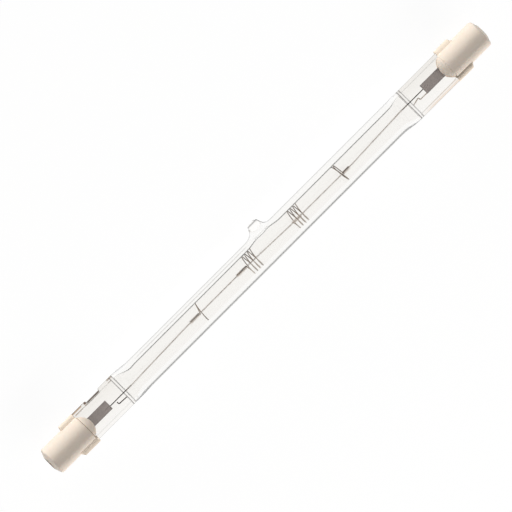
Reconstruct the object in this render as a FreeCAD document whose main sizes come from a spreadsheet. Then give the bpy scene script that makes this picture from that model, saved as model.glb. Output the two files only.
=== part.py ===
import FreeCAD, Part
import math
import os
import re

from FreeCAD import Placement, Rotation, Vector

# A double-ended linear halogen bulb, in millimetres, modelled lying on a table.
# While it is built, X runs along the tube, Y points out through the exhaust tip and Z stands
# square to the flat seals. The last placement rolls all of it about X until the tip touches down.
SIZES = {
    # quartz tube
    "overall_length": 117.6,
    "tube_diameter": 6.8,
    "tube_wall": 1.2,
    "flare_length": 4.8,
    # flat pinch seal at each end
    "pinch_length": 13.91,
    "pinch_width": 7.1,
    "pinch_thickness": 2.2,
    "pinch_shift": 0.17,
    "panel_margin": 0.65,
    "panel_depth": 0.3,
    "ridge_length": 0.45,
    "cavity_width": 5.6,
    "cavity_clearance": 0.12,
    "cavity_stop": 0.15,
    "nick_setback": 3.5,
    "nick_length": 3.3,
    "nick_depth": 0.35,
    # exhaust tip
    "tip_place": 1.24,
    "tip_reach": 5.2,
    "tip_diameter": 2.4,
    "tip_base_diameter": 3.1,
    "tip_crown": 0.35,
    "tip_fillet": 1.5,
    "pit_diameter": 3.0,
    "pit_reach": 2.45,
    # ceramic cap
    "cap_diameter": 6.1,
    "cap_length": 9.66,
    "cap_edge_radius": 0.45,
    "cap_rim_radius": 0.12,
    "crown_height": 0.4,
    "lip_diameter": 3.4,
    "dome_diameter": 5.84,
    "dome_length": 1.9,
    "slot_depth": 4.06,
    "slot_clearance": 0.15,
    # cement in the slot
    "cement_bed": 0.5,
    "cement_cover": 0.12,
    "ear_chamfer": 0.45,
    # end contact
    "recess_diameter": 2.6,
    "recess_depth": 1.6,
    "contact_sink": 0.1,
    "contact_diameter": 1.9,
    "contact_thickness": 0.7,
    "contact_clearance": 0.05,
    "stud_diameter": 1.2,
    "stud_length": 2.2,
    "stud_bore_depth": 1.5,
    # foils and leads
    "foil_width": 2.13,
    "foil_length": 7.4,
    "foil_thickness": 0.04,
    "foil_setback": 4.01,
    "weld_lap": 1.2,
    "lead_diameter": 0.2,
    "lead_reach": 1.9,
    "left_lead_rise": -0.4,
    "right_lead_rise": 0.15,
    "outer_lead_diameter": 0.6,
    # bent tails of the coil legs, sealed in beside the leads
    "tail_diameter": 0.22,
    "tail_bend": 0.2,
    "tail_setback": 0.45,
    "tail_slope": 0.1,
    "left_tail_reach": 2.55,
    "left_tail_drop": 0.9,
    "left_tail_hook": 0.5,
    "right_tail_reach": 2.2,
    "right_tail_drop": 1.05,
    "right_tail_hook": 0.55,
    # coiled filament
    "coil_diameter": 0.32,
    "coil_clearance": 0.01,
    "coil_bend": 40.0,
    "coil_lead_in": 0.8,
    # filament supports
    "support_wire": 0.18,
    "support_clearance": 0.02,
    "winding_pitch": 0.242,
    "left_ring_place": -18.22,
    "left_ring_rise": 0.0,
    "left_spiral_place": -5.5,
    "left_spiral_rise": 0.0,
    "right_spiral_place": 6.86,
    "right_spiral_rise": -0.35,
    "right_ring_place": 20.44,
    "right_ring_rise": -0.4,
    "left_ring_top": 0.85,
    "left_ring_foot": 0.45,
    "right_ring_top": -0.4,
    "right_ring_foot": -0.05,
    "right_ring_tail": -0.93,
    "spiral_turns": 3.5,
    "spiral_pitch": 0.74,
}

# Places along the right-hand end, each written in the sheet's own names.
END = "(overall_length / 2)"
CAP_INNER = f"({END} - cap_length)"
SLOT_END = f"({CAP_INNER} + slot_depth)"
PINCH_END = f"({SLOT_END} - cement_bed)"
PINCH_START = f"({PINCH_END} - pinch_length)"
FLARE_START = f"({PINCH_START} - flare_length)"
CAVITY_END = f"({PINCH_START} - cavity_stop)"
PANEL_START = f"({PINCH_START} + ridge_length)"
WEB_THICKNESS = "(pinch_thickness - 2 * panel_depth)"
CEMENT_START = f"({CAP_INNER} + cap_rim_radius)"
SLOT_WIDTH = "(pinch_thickness + 2 * slot_clearance)"
EAR_REACH = "(pinch_width / 2 + pinch_shift + cement_cover)"
FOIL_START = f"({PINCH_START} + foil_setback)"
FOIL_END = f"({FOIL_START} + foil_length)"
FOIL_TOP = "(-lead_diameter / 4)"
RECESS_FLOOR = f"({END} - recess_depth)"
CONTACT_FACE = f"({RECESS_FLOOR} - contact_sink)"
CONTACT_SEAT = f"({CONTACT_FACE} - contact_thickness)"
STUD_END = f"({CONTACT_SEAT} - stud_length)"
SHOULDER = f"({END} - crown_height)"
BORE = "(tube_diameter - 2 * tube_wall)"
CAVITY_HEIGHT = "(coil_diameter + 2 * cavity_clearance)"

ALONG_X = Rotation(Vector(0, 1, 0), 90)
ALONG_Y = Rotation(Vector(1, 0, 0), -90)
ACROSS_X = Rotation(Vector(1, 1, 1), 120)
END_FOR_END = Placement(Vector(), Rotation(Vector(0, 0, 1), 180))

doc = FreeCAD.newDocument("linear_halogen_bulb")
sheet = doc.addObject("Spreadsheet::Sheet", "sizes")
for row, (alias, value) in enumerate(SIZES.items(), start=1):
    sheet.set(f"A{row}", alias)
    sheet.set(f"B{row}", str(value))
    sheet.setAlias(f"B{row}", alias)
doc.recompute()


def bind(thing, prop, formula):
    """Ties a property to the sheet. The formula is in the sheet's own names."""
    names = "|".join(sorted(SIZES, key=len, reverse=True))
    thing.setExpression(prop, re.sub(rf"\b({names})\b", r"sizes.\1", formula))


def size(formula):
    """The present value of a formula in the sheet's names, for shapes that are set in code."""
    probe = doc.addObject("App::FeaturePython", "probe")
    probe.addProperty("App::PropertyFloat", "value")
    bind(probe, "value", formula)
    probe.recompute()
    value = probe.value
    doc.removeObject(probe.Name)
    return value


def place(thing, rotation, x="0", y="0", z="0"):
    thing.Placement = Placement(Vector(), rotation)
    for axis, formula in zip("xyz", (x, y, z)):
        if formula != "0":
            bind(thing, f".Placement.Base.{axis}", formula)
    return thing


def rod(name, diameter, start, length, y="0", z="0"):
    thing = doc.addObject("Part::Cylinder", name)
    bind(thing, "Radius", f"{diameter} / 2")
    bind(thing, "Height", length)
    return place(thing, ALONG_X, start, y, z)


def block(name, start, length, width, height, y="0", z="0"):
    """A block that starts at a place along X and is centred on y and z."""
    thing = doc.addObject("Part::Box", name)
    bind(thing, "Length", length)
    bind(thing, "Width", width)
    bind(thing, "Height", height)
    return place(thing, Rotation(), start, f"{y} - {width} / 2", f"{z} - {height} / 2")


def fuse(name, shapes):
    thing = doc.addObject("Part::MultiFuse", name)
    thing.Shapes = shapes
    return thing


def cut(name, base, tools):
    thing = doc.addObject("Part::Cut", name)
    thing.Base = base
    thing.Tool = tools[0] if len(tools) == 1 else fuse(f"{name}_tools", tools)
    return thing


def swapped(source):
    """The same shape at the left-hand end."""
    thing = doc.addObject("Part::Compound", f"{source.Name}_swapped")
    thing.Links = [source]
    thing.Placement = END_FOR_END
    return thing


def both_ends(source):
    return [source, swapped(source)]


def rounded(name, base, radii):
    """Rounds the base's closed edges that lie in the planes of radii, a radius for each place along X."""
    doc.recompute()
    thing = doc.addObject("Part::Fillet", name)
    thing.Base = base
    thing.Edges = [
        (number, size(radius), size(radius))
        for number, edge in enumerate(base.Shape.Edges, start=1)
        for place_x, radius in radii.items()
        if edge.isClosed() and abs(edge.CenterOfMass.x - size(place_x)) < 1e-6
    ]
    return thing


def flare(name, wide, flat_width, flat_height, start, stop):
    """A round section that flattens smoothly to a flat oval, by half a cosine wave."""
    sections = []
    steps = 6
    for step in range(steps + 1):
        share = step / steps
        blend = (1 - math.cos(math.pi * share)) / 2
        oval = doc.addObject("Part::Ellipse", f"{name}_{step}")
        bind(oval, "MajorRadius", f"({wide} + ({flat_width} - {wide}) * {blend}) / 2")
        bind(oval, "MinorRadius", f"({wide} + ({flat_height} - {wide}) * {blend}) / 2")
        place(oval, ACROSS_X, f"{start} + ({stop} - {start}) * {share}", f"-pinch_shift * {blend}")
        sections.append(oval)
    thing = doc.addObject("Part::Loft", name)
    thing.Sections = sections
    thing.Solid = True
    return thing


def bent_wire(points, bend):
    """Straight runs through the points in the plane z = 0, with each corner rounded by a tangent arc."""
    corners = [Vector(x, y, 0) for x, y in points]
    edges = []
    start = corners[0]
    for before, corner, after in zip(corners, corners[1:], corners[2:]):
        incoming = (corner - before).normalize()
        outgoing = (after - corner).normalize()
        turn = incoming.getAngle(outgoing)
        if turn < 1e-6:
            continue
        setback = bend * math.tan(turn / 2)
        centre_reach = bend / math.cos(turn / 2)
        inward = (outgoing - incoming).normalize()
        middle = corner + inward * (centre_reach - bend)
        entry = corner - incoming * setback
        leave = corner + outgoing * setback
        edges += [Part.makeLine(start, entry), Part.Arc(entry, middle, leave).toShape()]
        start = leave
    edges.append(Part.makeLine(start, corners[-1]))
    return Part.Wire(edges)


def drawn(path, diameter, start, direction):
    """A round wire drawn along a path that leaves start in the given direction."""
    ring = Part.Wire(Part.makeCircle(diameter / 2, start, direction))
    return Part.Wire(path.Edges).makePipeShell([ring], True, True)


def coded(name, shape):
    thing = doc.addObject("Part::Feature", name)
    thing.Shape = shape
    return thing


def wire_between(name, points, diameter, bend):
    path = bent_wire(points, bend)
    start = Vector(*points[0], 0)
    return coded(name, drawn(path, diameter, start, Vector(*points[1], 0) - start))


# Foil, leads and tails that the pinch is pressed around.
def foil():
    return block(
        "foil", FOIL_START, "foil_length", "foil_width", "foil_thickness",
        z=f"{FOIL_TOP} - foil_thickness / 2",
    )


def welded_lead(name, diameter, start, length, weld_start, y="0"):
    """A round lead whose end is flattened against the foil it is welded to."""
    under = block(
        f"{name}_flat", weld_start, "weld_lap", f"2 * {diameter}", diameter,
        y=y, z=f"{FOIL_TOP} - {diameter} / 2",
    )
    return cut(name, rod(f"{name}_wire", diameter, start, length, y), [under])


def inner_lead(side, rise):
    return welded_lead(
        f"{side}_lead", "lead_diameter", f"{PINCH_START} - lead_reach",
        "lead_reach + foil_setback + weld_lap", FOIL_START, rise,
    )


def outer_lead():
    weld = f"({FOIL_END} - weld_lap)"
    return welded_lead(
        "outer_lead", "outer_lead_diameter", weld, f"{STUD_END} + stud_bore_depth - {weld}", weld
    )


def lead_tails():
    """Each tail starts beside its lead and bends back, in the plane of the seal."""
    pinch = size(PINCH_START)
    inner_end = pinch + size("tail_setback")
    slope = size("tail_slope")
    left_hook = -pinch - size("left_tail_reach")
    left_line = size("left_lead_rise - left_tail_drop")
    left = [
        (left_hook, left_line + size("left_tail_hook")),
        (left_hook, left_line),
        (-inner_end, left_line - slope),
    ]
    right_hook = pinch + size("right_tail_reach")
    right_line = size("right_lead_rise - right_tail_drop")
    right = [
        (size(FOIL_START), right_line),
        (right_hook, right_line),
        (right_hook, right_line + size("right_tail_hook")),
        (inner_end, right_line + slope),
    ]
    diameter = size("tail_diameter")
    bend = size("tail_bend")
    return [
        wire_between("lead_tail_left_wire", left, diameter, bend),
        wire_between("lead_tail_right_wire", right, diameter, bend),
    ]


# Quartz envelope: tube, flares, flat seals and exhaust tip, all drawn from one tube.
def exhaust_tip():
    """A tapered nub with a low crown, standing on the tube."""
    nub = doc.addObject("Part::Cone", "tip_nub")
    bind(nub, "Radius1", "tip_base_diameter / 2")
    bind(nub, "Radius2", "tip_diameter / 2")
    bind(nub, "Height", f"tip_reach - {BORE} / 2 - tube_wall / 2")
    place(nub, ALONG_Y, "tip_place", f"{BORE} / 2 + tube_wall / 2")
    crown = doc.addObject("Part::Cone", "tip_crown")
    bind(crown, "Radius1", "tip_diameter / 2")
    bind(crown, "Radius2", "tip_diameter / 4")
    bind(crown, "Height", "tip_crown")
    place(crown, ALONG_Y, "tip_place", "tip_reach")
    return [nub, crown]


def exhaust_pit():
    """The dimple that is left of the exhaust bore under the melted tip."""
    pit = doc.addObject("Part::Cone", "tip_pit")
    bind(pit, "Radius1", "pit_diameter / 2")
    bind(pit, "Radius2", "pit_diameter / 4")
    bind(pit, "Height", f"pit_reach - {BORE} / 4")
    return place(pit, ALONG_Y, "tip_place", f"{BORE} / 4")


def tip_root(shape):
    """Number of the edge where the nub leaves the tube: the one edge on both the cone and the tube."""
    tube_radius = size("tube_diameter") / 2
    middle = Vector(size("tip_place"), 0, 0)
    for number, edge in enumerate(shape.Edges, start=1):
        points = edge.discretize(9)
        on_tube = all(abs(math.hypot(p.y, p.z) - tube_radius) < 1e-4 for p in points)
        near_tip = all(p.y > 0 and abs(p.x - middle.x) < tube_radius for p in points)
        if on_tube and near_tip and edge.isClosed():
            return number
    raise ValueError("no edge found at the root of the exhaust tip")


def quartz_envelope(sealed_in):
    tube = rod("tube", "tube_diameter", f"-{FLARE_START}", f"2 * {FLARE_START}")
    tipped = fuse("tipped_tube", [tube, *exhaust_tip()])
    doc.recompute()
    blended = doc.addObject("Part::Fillet", "tip_blend")
    blended.Base = tipped
    blended.Edges = [(tip_root(tipped.Shape), size("tip_fillet"), size("tip_fillet"))]
    seal = block(
        "pinch", PINCH_START, "pinch_length", "pinch_width", "pinch_thickness", y="-pinch_shift"
    )
    neck = flare("neck", "tube_diameter", "pinch_width", WEB_THICKNESS, FLARE_START, PINCH_START)
    outside = fuse("envelope_outside", [blended, *both_ends(neck), *both_ends(seal)])

    bore = rod("bore", BORE, f"-{FLARE_START}", f"2 * {FLARE_START}")
    cavity = flare("cavity", BORE, "cavity_width", CAVITY_HEIGHT, FLARE_START, CAVITY_END)
    panel = block(
        "panels", PANEL_START, f"{CEMENT_START} - {PANEL_START}",
        "(pinch_width - 2 * panel_margin)", "pinch_thickness", y="-pinch_shift",
    )
    web = block(
        "panel_web", PANEL_START, f"{CEMENT_START} - {PANEL_START}",
        "pinch_width", WEB_THICKNESS, y="-pinch_shift",
    )
    nick = block(
        "nick", f"{PINCH_START} + nick_setback", "nick_length", "(2 * nick_depth)", "2 * pinch_thickness",
        y="-pinch_width / 2 - pinch_shift",
    )
    hollows = [bore, exhaust_pit(), *both_ends(cavity), *both_ends(cut("panel_pair", panel, [web]))]
    return cut("envelope", outside, [*hollows, swapped(nick), *sealed_in]), seal


# Ceramic cap with its domed tongues, slot and contact recess.
def ceramic_cap():
    barrel = rod("cap_barrel", "cap_diameter", CAP_INNER, f"{SHOULDER} - {CAP_INNER}")
    barrel = rounded("cap_body", barrel, {SHOULDER: "cap_edge_radius", CAP_INNER: "cap_rim_radius"})
    crown = doc.addObject("Part::Cone", "cap_crown")
    bind(crown, "Radius1", "cap_diameter / 2 - cap_edge_radius")
    bind(crown, "Radius2", "lip_diameter / 2")
    bind(crown, "Height", "crown_height")
    place(crown, ALONG_X, SHOULDER)
    ball_radius = "((dome_diameter ^ 2 / 4 + dome_length ^ 2) / (2 * dome_length))"
    ball = doc.addObject("Part::Sphere", "dome_ball")
    bind(ball, "Radius", ball_radius)
    place(ball, Rotation(), f"{CAP_INNER} - dome_length + {ball_radius}")
    reach = rod("dome_reach", "dome_diameter", f"{CAP_INNER} - dome_length", "dome_length + cap_rim_radius")
    dome = doc.addObject("Part::Common", "dome")
    dome.Base = ball
    dome.Tool = reach
    whole = fuse("cap_blank", [barrel, crown, dome])
    slot = block(
        "slot", f"{CAP_INNER} - dome_length", "dome_length + slot_depth", "2 * cap_diameter", SLOT_WIDTH
    )
    recess = rod("recess", "recess_diameter", RECESS_FLOOR, "recess_depth")
    seat = rod(
        "contact_pocket", "(contact_diameter + 2 * contact_clearance)", CONTACT_SEAT,
        "contact_thickness + contact_sink",
    )
    stud_hole = rod(
        "stud_hole", "(stud_diameter + 2 * contact_clearance)", SLOT_END, f"{CONTACT_SEAT} - {SLOT_END}"
    )
    return cut("cap", whole, [slot, recess, seat, stud_hole])


def cement(seal, lead):
    """Cement that beds the seal in the slot and stands out on both sides as ears with bevelled edges."""
    length = f"({SLOT_END} - {CEMENT_START})"
    bed = block("cement_bed_block", CEMENT_START, length, f"(2 * {EAR_REACH})", SLOT_WIDTH)
    doc.recompute()
    bevel = doc.addObject("Part::Chamfer", "cement_ears")
    bevel.Base = bed
    reach = size(EAR_REACH)
    near = size(CEMENT_START)
    bevel.Edges = [
        (number, size("ear_chamfer"), size("ear_chamfer"))
        for number, edge in enumerate(bed.Shape.Edges, start=1)
        if edge.CenterOfMass.x - near > 1e-6 and abs(abs(edge.CenterOfMass.y) - reach) < 1e-6
    ]
    return cut("cement_ring", bevel, [seal, lead])


def end_contact():
    """A disc at the bottom of the recess with a stud that takes the outer lead."""
    disc = rod("contact_disc", "contact_diameter", CONTACT_SEAT, "contact_thickness")
    disc = rounded("contact_face", disc, {CONTACT_FACE: "contact_thickness / 2"})
    stud = rod("contact_stud", "stud_diameter", STUD_END, "stud_length")
    lead_bore = rod("stud_bore", "outer_lead_diameter", STUD_END, "stud_bore_depth")
    return cut("contact", fuse("contact_blank", [disc, stud]), [lead_bore])


# Filament and its four supports.
WIRE_FLATS = 6
SUPPORTS = {
    # turns of the winding, the side of the step that it lies on, the side of the bore that the step goes to
    "left_ring": (10, -1, 1),
    "left_spiral": (10, -1, -1),
    "right_spiral": (9, 1, -1),
    "right_ring": (7, 1, 1),
}
RING_STOPS = {
    "left_ring": ("top", "foot"),
    "right_ring": ("top", "foot", "tail"),
}


def loop_places(name):
    """How far along from the step the wire touches one side of the bore and then the other."""
    if name in RING_STOPS:
        return [size(f"{name}_{stop}") for stop in RING_STOPS[name]]
    touches = round(2 * size("spiral_turns")) + 1
    return [size("spiral_pitch") / 2 * (touch + 1) for touch in range(touches)]


def half_rings(points):
    """Half circles from each point to the next, in front of the plane z = 0 and behind it in turn."""
    edges = []
    for number, (start, stop) in enumerate(zip(points, points[1:])):
        bulge = (stop - start).Length / 2 * (-1) ** number
        edges.append(Part.Arc(start, (start + stop) / 2 + Vector(0, 0, bulge), stop).toShape())
    return Part.Wire(edges)


def support(name, winding_turns, winding_side, bore_side):
    """One wire: a close winding that grips the coil, a step out, then loops that spring on the bore."""
    wire = size("support_wire")
    clearance = size("support_clearance")
    grip = size("coil_diameter") / 2 + clearance + wire / 2
    reach = size(BORE) / 2 - clearance - wire / 2
    places = loop_places(name)
    longest = max(abs(after - before) for before, after in zip(places, places[1:]))
    wall = math.sqrt(reach ** 2 - (longest / 2) ** 2)
    step_x = size(f"{name}_place")
    rise = size(f"{name}_rise")
    half_pitch = winding_side * size("winding_pitch") / 2
    points = [
        Vector(step_x + half_pitch * left, rise - bore_side * grip * (-1) ** left, 0)
        for left in range(round(2 * winding_turns), -1, -1)
    ]
    points += [
        Vector(step_x + along, bore_side * wall * (-1) ** touch, 0) for touch, along in enumerate(places)
    ]
    corners = [
        points[0] + Rotation(Vector(0, 0, 1), 360 * flat / WIRE_FLATS).multVec(Vector(wire / 2, 0, 0))
        for flat in range(WIRE_FLATS)
    ]
    outline = Part.makePolygon([*corners, corners[0]])
    return coded(f"{name}_wire", half_rings(points).makePipeShell([outline], True, True))


def filament():
    """A close coil, drawn as its hollow sleeve, straight from each support to the next."""
    ends = size(CAVITY_END)
    lap = size("lead_reach")
    lead_in = size("coil_lead_in")
    points = [
        (-ends, size("left_lead_rise")),
        (-size(PINCH_START) + lap + lead_in, size("left_lead_rise")),
    ]
    for name, (winding_turns, winding_side, _) in SUPPORTS.items():
        step_x = size(f"{name}_place")
        first, second = sorted([step_x, step_x + winding_side * winding_turns * size("winding_pitch")])
        rise = size(f"{name}_rise")
        points += [(first - lead_in, rise), (second + lead_in, rise)]
    points += [
        (size(PINCH_START) - lap - lead_in, size("right_lead_rise")),
        (ends, size("right_lead_rise")),
    ]
    path = bent_wire(points, size("coil_bend"))
    start = Vector(*points[0], 0)
    direction = Vector(1, 0, 0)
    sleeve = drawn(path, size("coil_diameter"), start, direction)
    inside = drawn(path, size("lead_diameter") + 2 * size("coil_clearance"), start, direction)
    return coded("coil_sleeve", sleeve.cut(inside))


def resting_roll():
    """The roll at which the rim of the tip and the tube both touch the table."""
    reach = size("tip_reach")
    rim = size("tip_diameter") / 2
    tube = size("tube_diameter") / 2
    return math.degrees(math.asin(tube / math.hypot(reach, rim)) - math.atan2(rim, reach))


NODES = []


def node(label, source):
    """A sub-part of the bulb, rolled to where it lies."""
    thing = doc.addObject("Part::Compound", label)
    thing.Label = label
    thing.Links = [source]
    thing.Placement = Placement(Vector(), Rotation(Vector(1, 0, 0), -resting_roll()))
    NODES.append(thing)


def pair(label, source):
    node(f"{label}_right", source)
    node(f"{label}_left", swapped(source))


seal_foil = foil()
seal_outer_lead = outer_lead()
lead_right = inner_lead("right", "right_lead_rise")
lead_left = swapped(inner_lead("left", "-left_lead_rise"))
tail_left, tail_right = lead_tails()
sealed = [*both_ends(seal_foil), *both_ends(seal_outer_lead), lead_left, lead_right, tail_left, tail_right]
envelope, pinch_seal = quartz_envelope(sealed)

node("quartz_envelope", envelope)
pair("ceramic_cap", ceramic_cap())
pair("cap_cement", cement(pinch_seal, seal_outer_lead))
pair("end_contact", end_contact())
pair("molybdenum_foil", seal_foil)
pair("outer_lead", seal_outer_lead)
node("inner_lead_right", lead_right)
node("inner_lead_left", lead_left)
node("lead_tail_right", tail_right)
node("lead_tail_left", tail_left)
node("filament_coil", filament())
for support_name, layout in SUPPORTS.items():
    node(f"{support_name}_support", support(support_name, *layout))

doc.recompute()
for thing in doc.Objects:
    if "Invalid" in thing.State or "Error" in thing.State:
        raise ValueError(f"{thing.Label} did not build: {thing.State}")
for thing in NODES:
    if thing.Shape.isNull() or not thing.Shape.isValid() or len(thing.Shape.Solids) != 1:
        raise ValueError(f"{thing.Label} is not one valid solid")

os.makedirs("parts", exist_ok=True)
for thing in NODES:
    thing.Shape.exportStep(f"parts/{thing.Label}.step")
    print(f"{thing.Label}: {thing.Shape.Volume:.3f} mm3, {len(thing.Shape.Faces)} faces")
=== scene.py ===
import math

import bpy
import numpy as np
from mathutils import Matrix, Vector


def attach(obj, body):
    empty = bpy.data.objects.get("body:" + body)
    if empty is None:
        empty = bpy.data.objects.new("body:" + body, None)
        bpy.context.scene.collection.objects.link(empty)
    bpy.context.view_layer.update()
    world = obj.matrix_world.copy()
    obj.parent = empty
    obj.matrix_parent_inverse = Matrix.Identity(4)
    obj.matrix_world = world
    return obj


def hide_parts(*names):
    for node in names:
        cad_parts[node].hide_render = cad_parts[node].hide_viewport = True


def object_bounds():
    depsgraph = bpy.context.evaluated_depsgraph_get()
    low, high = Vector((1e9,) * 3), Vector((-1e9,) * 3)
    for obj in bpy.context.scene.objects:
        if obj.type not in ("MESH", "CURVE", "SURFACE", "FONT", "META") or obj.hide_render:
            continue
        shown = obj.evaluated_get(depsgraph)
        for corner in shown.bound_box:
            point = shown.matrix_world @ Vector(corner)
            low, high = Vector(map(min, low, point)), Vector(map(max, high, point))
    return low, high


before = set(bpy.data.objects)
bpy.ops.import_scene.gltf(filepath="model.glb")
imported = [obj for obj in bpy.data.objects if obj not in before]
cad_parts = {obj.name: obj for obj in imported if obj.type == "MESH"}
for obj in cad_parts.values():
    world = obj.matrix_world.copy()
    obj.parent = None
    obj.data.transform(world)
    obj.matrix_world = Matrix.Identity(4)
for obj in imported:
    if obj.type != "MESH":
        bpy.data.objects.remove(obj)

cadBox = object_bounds()
scene = bpy.context.scene
scene.view_settings.view_transform = "Standard"
millimetre = 0.001

# Sizes in millimetres that several pieces share.
bulb = {
    "halfLength": 58.8, "tubeRadius": 3.396, "boreRadius": 2.2, "flareLength": 4.8, "sealLength": 13.91,
    "sealHalfWidth": 3.55, "sealShift": 0.17, "capLength": 9.66, "capRadius": 3.05, "rimRound": 0.12,
    "slotDepth": 4.06, "slotHalf": 1.25, "cementBed": 0.5, "tipReach": 5.2, "tipRim": 1.2,
}
capInner = bulb["halfLength"] - bulb["capLength"]
slotEnd = capInner + bulb["slotDepth"]
sealEnd = slotEnd - bulb["cementBed"]
sealStart = sealEnd - bulb["sealLength"]
flareStart = sealStart - bulb["flareLength"]

# The bulb lies on its tube and on the rim of the exhaust tip. Its own axes are x along the tube,
# y out through the tip and z square to the flat seals, turned about x by this roll.
rimReach = math.hypot(bulb["tipReach"], bulb["tipRim"])
roll = math.asin(bulb["tubeRadius"] / rimReach) - math.atan2(bulb["tipRim"], bulb["tipReach"])
alongAxis = np.array([1.0, 0.0, 0.0])
tipAxis = np.array([0.0, math.cos(roll), -math.sin(roll)])
faceAxis = np.array([0.0, math.sin(roll), math.cos(roll)])
print("frame loaded, roll", round(math.degrees(roll), 2))


def laid(x, y, z):  # the bulb's own millimetres to metres in the frame
    x, y, z = np.broadcast_arrays(x, y, z)
    return (x[..., None] * alongAxis + y[..., None] * tipAxis + z[..., None] * faceAxis) * millimetre


def eased(low, high, value):  # 0 below low, 1 above high, a cubic S between
    share = np.clip((value - low) / (high - low), 0, 1)
    return share * share * (3 - 2 * share)


def dense(*spans):  # sorted places along a piece, each span evenly filled with its own count
    return np.unique(np.concatenate([np.linspace(*span) for span in spans]))


def around(count):  # angles evenly round one turn
    return np.linspace(0, 2 * math.pi, count, endpoint=False)


def halfWave(start, length, value):  # 0 up to start, 1 past its length, half a cosine wave between
    return (1 - np.cos(math.pi * np.clip((value - start) / length, 0, 1))) / 2


def bell(middle, width, value):  # exp(-(way from the middle / width)^2)
    return np.exp(-((value - middle) / width) ** 2)


def softSpan(low, high, soft, value):  # 1 from low to high, easing out over soft beyond them
    return eased(low - soft, low, value) * (1 - eased(high, high + soft, value))


def signedPower(value, power):  # a power of the value's size, with the value's own sign
    return np.sign(value) * np.abs(value) ** power


# Meshes: rings of points along a piece, closed round each ring and by a pole at each end.
def closedShell(rings, hollow=False):
    rows, columns = rings.shape[:2]
    grid = np.arange(rows * columns).reshape(rows, columns)
    beside = np.roll(grid, -1, axis=1)
    quads = np.stack([grid[:-1], grid[1:], beside[1:], beside[:-1]], axis=-1).reshape(-1, 4)
    firstPole = np.full(columns, rows * columns)
    startFan = np.stack([grid[0], beside[0], firstPole], axis=-1)
    endFan = np.stack([beside[-1], grid[-1], firstPole + 1], axis=-1)
    points = np.concatenate([rings.reshape(-1, 3), rings[:1].mean(axis=1), rings[-1:].mean(axis=1)])
    fans = np.concatenate([startFan, endFan])
    corners = points[np.concatenate([quads[:, :3], quads[:, [0, 2, 3]], fans])]
    volume = np.einsum("ij,ij->", corners[:, 0], np.cross(corners[:, 1], corners[:, 2]))
    if (volume < 0) != hollow:  # turn the faces so that they look out of the material
        quads, fans = quads[:, ::-1], fans[:, ::-1]
    return points, quads, fans


def meshOf(name, shells):
    points, faces, count = [], [], 0
    for shellPoints, quads, fans in shells:
        points.append(shellPoints)
        faces += (quads + count).tolist() + (fans + count).tolist()
        count += len(shellPoints)
    mesh = bpy.data.meshes.new(name)
    mesh.from_pydata(np.concatenate(points), [], faces)
    mesh.update()
    return mesh


def addPiece(name, mesh, material, node, sharpAngle=None):
    mesh.shade_smooth()
    if sharpAngle:
        mesh.set_sharp_from_angle(angle=math.radians(sharpAngle))
    piece = bpy.data.objects.new(name, mesh)
    scene.collection.objects.link(piece)
    mesh.materials.append(material)
    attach(piece, "root")
    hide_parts(node)


def cutAway(mesh, cutter):  # the first mesh less the second
    whole = bpy.data.objects.new("whole", mesh)
    tool = bpy.data.objects.new("tool", cutter)
    for thing in (whole, tool):
        scene.collection.objects.link(thing)
    difference = whole.modifiers.new("difference", "BOOLEAN")
    difference.operation = "DIFFERENCE"
    difference.solver = "EXACT"
    difference.object = tool
    bpy.context.view_layer.update()
    result = bpy.data.meshes.new_from_object(whole.evaluated_get(bpy.context.evaluated_depsgraph_get()))
    for thing in (whole, tool):
        bpy.data.objects.remove(thing)
    return result


def endForEnd(x, y, z):  # the same point at the left-hand end, by half a turn about z
    return -x, -y, z


def sameEnd(x, y, z):
    return x, y, z


ends = {"right": sameEnd, "left": endForEnd}


# Materials. The four numbers are a Mix node's sockets for colours: its share, its two colours, its result.
mixShare, mixFirst, mixSecond, mixResult = 0, 6, 7, 2
waveRepeat = 2 * math.pi / 20  # the length at which the wave texture repeats at scale 1


def linear(colour):  # sRGB hex to linear values
    parts = [int(colour[i:i + 2], 16) / 255 for i in (1, 3, 5)]
    return [p / 12.92 if p <= 0.04045 else ((p + 0.055) / 1.055) ** 2.4 for p in parts] + [1.0]


def addNode(tree, kind, inputs=None, links=None, **settings):
    node = tree.nodes.new(kind)
    for name, value in settings.items():
        setattr(node, name, value)
    for socket, value in (inputs or {}).items():
        node.inputs[socket].default_value = value
    for socket, source in (links or {}).items():
        tree.links.new(source, node.inputs[socket])
    return node


def newMaterial(name):
    material = bpy.data.materials.new(name)
    material.use_nodes = True
    tree = material.node_tree
    tree.nodes.clear()
    coords = addNode(tree, "ShaderNodeTexCoord")
    # the bulb's own axes in millimetres, so that every scale below is a real size
    own = addNode(
        tree, "ShaderNodeMapping", {"Rotation": (roll, 0, 0), "Scale": (1 / millimetre,) * 3},
        {"Vector": coords.outputs["Object"]},
    )
    return material, tree, own.outputs["Vector"]


def finishMaterial(tree, shader):
    addNode(tree, "ShaderNodeOutputMaterial", links={"Surface": shader})


def band(tree, value, low, high, soft):  # 1 from low to high, fading out over soft beyond them
    rise = addNode(
        tree, "ShaderNodeMapRange", {"From Min": low - soft, "From Max": low}, {"Value": value},
    )
    fall = addNode(
        tree, "ShaderNodeMapRange", {"From Min": high + soft, "From Max": high}, {"Value": value},
    )
    both = addNode(
        tree, "ShaderNodeMath",
        links={0: rise.outputs["Result"], 1: fall.outputs["Result"]}, operation="MULTIPLY",
    )
    return both.outputs["Value"]


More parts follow.
